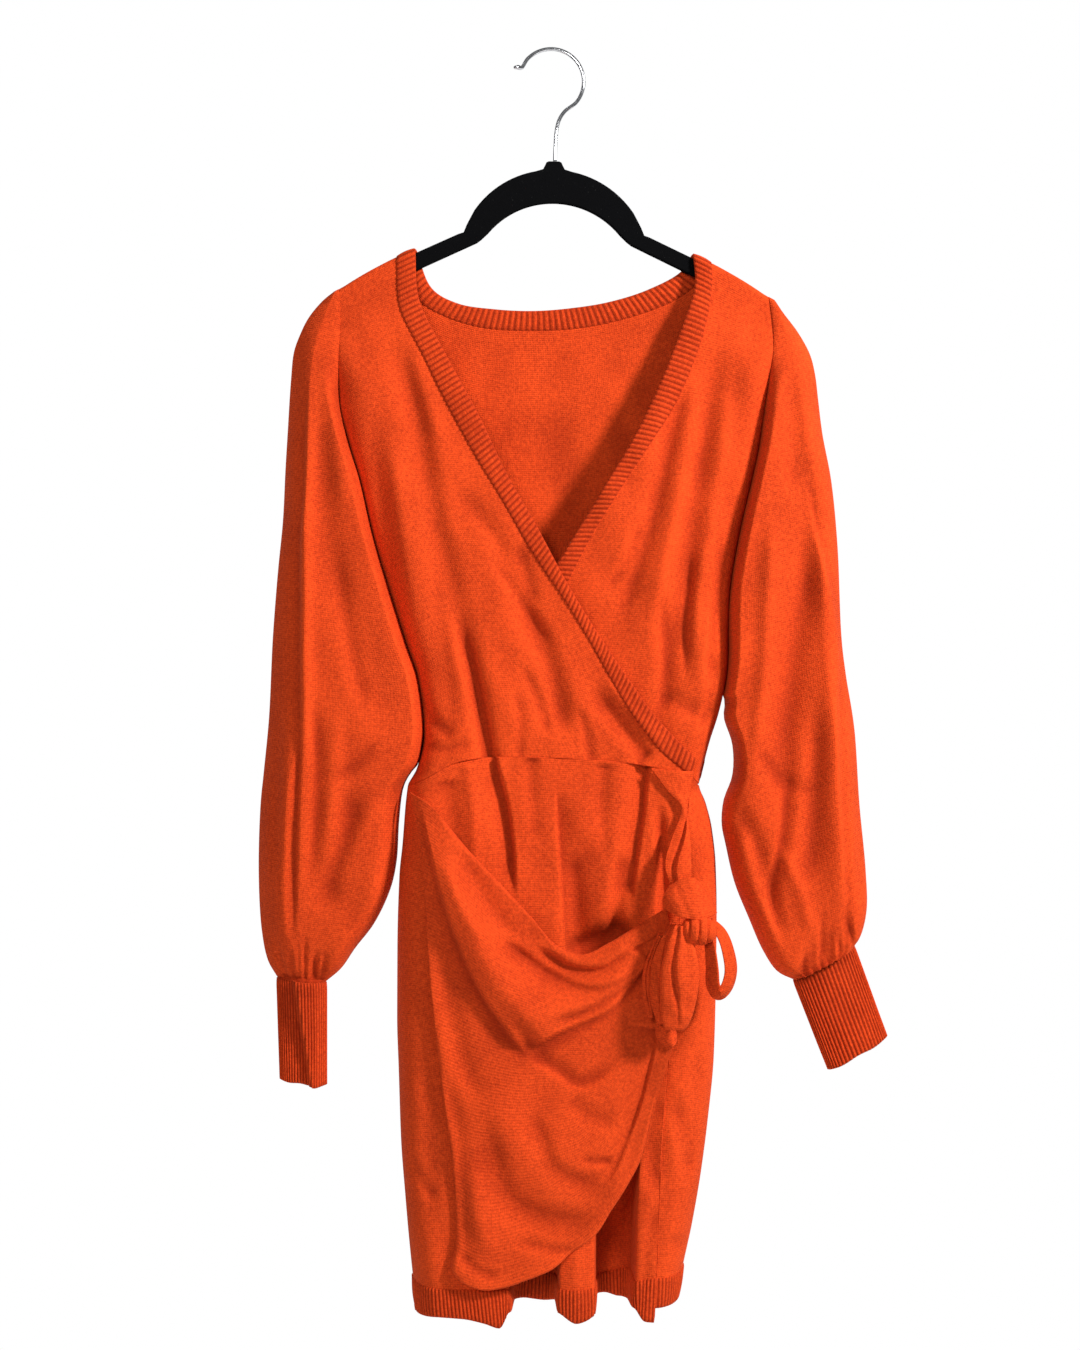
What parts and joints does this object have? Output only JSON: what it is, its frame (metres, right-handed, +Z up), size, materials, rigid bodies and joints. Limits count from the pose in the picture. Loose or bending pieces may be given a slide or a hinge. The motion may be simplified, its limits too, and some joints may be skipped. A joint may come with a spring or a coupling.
{
  "type": "wrap dress on a clothes hanger",
  "caption": "Knit wrap dress with a crossed V neck, ribbed bands, wide cuffed sleeves and a draped panel tied in a side bow, hung on a slim hanger with a wire hook.",
  "frame": {"origin": "inside top of the hook, where it rests on a rod", "axes": "+Z up, +X to the viewer's right, the dress's front faces -Y"},
  "size_m": [0.5531, 0.1038, 1.1112],
  "materials": {
    "jersey": "fine-gauge knit with a slight nap, matte",
    "rib_knit": "fine rib knit, matte",
    "flock": "short black flock",
    "hook_wire": "polished"
  },
  "bodies": {
    "root": {"right_front": "jersey", "left_front": "jersey", "bodice_back": "jersey", "right_sleeve_front": "jersey", "right_sleeve_back": "jersey", "left_sleeve_front": "jersey", "left_sleeve_back": "jersey", "skirt_front": "jersey", "skirt_back": "jersey", "overlay": "jersey", "side_tie": "jersey", "knot_cover": "jersey", "knot_wrap": "jersey", "bow_puff_inner": "jersey", "bow_puff_outer": "jersey", "bow_loop_thin": "jersey", "bow_loop_side": "jersey", "bow_tail": "jersey", "right_front_band": "rib_knit", "left_front_band": "rib_knit", "back_neck_band": "rib_knit", "right_cuff": "rib_knit", "left_cuff": "rib_knit", "hem_front": "rib_knit", "hem_back": "rib_knit", "hanger": "flock", "hook": "hook_wire"}
  },
  "joints": []
}
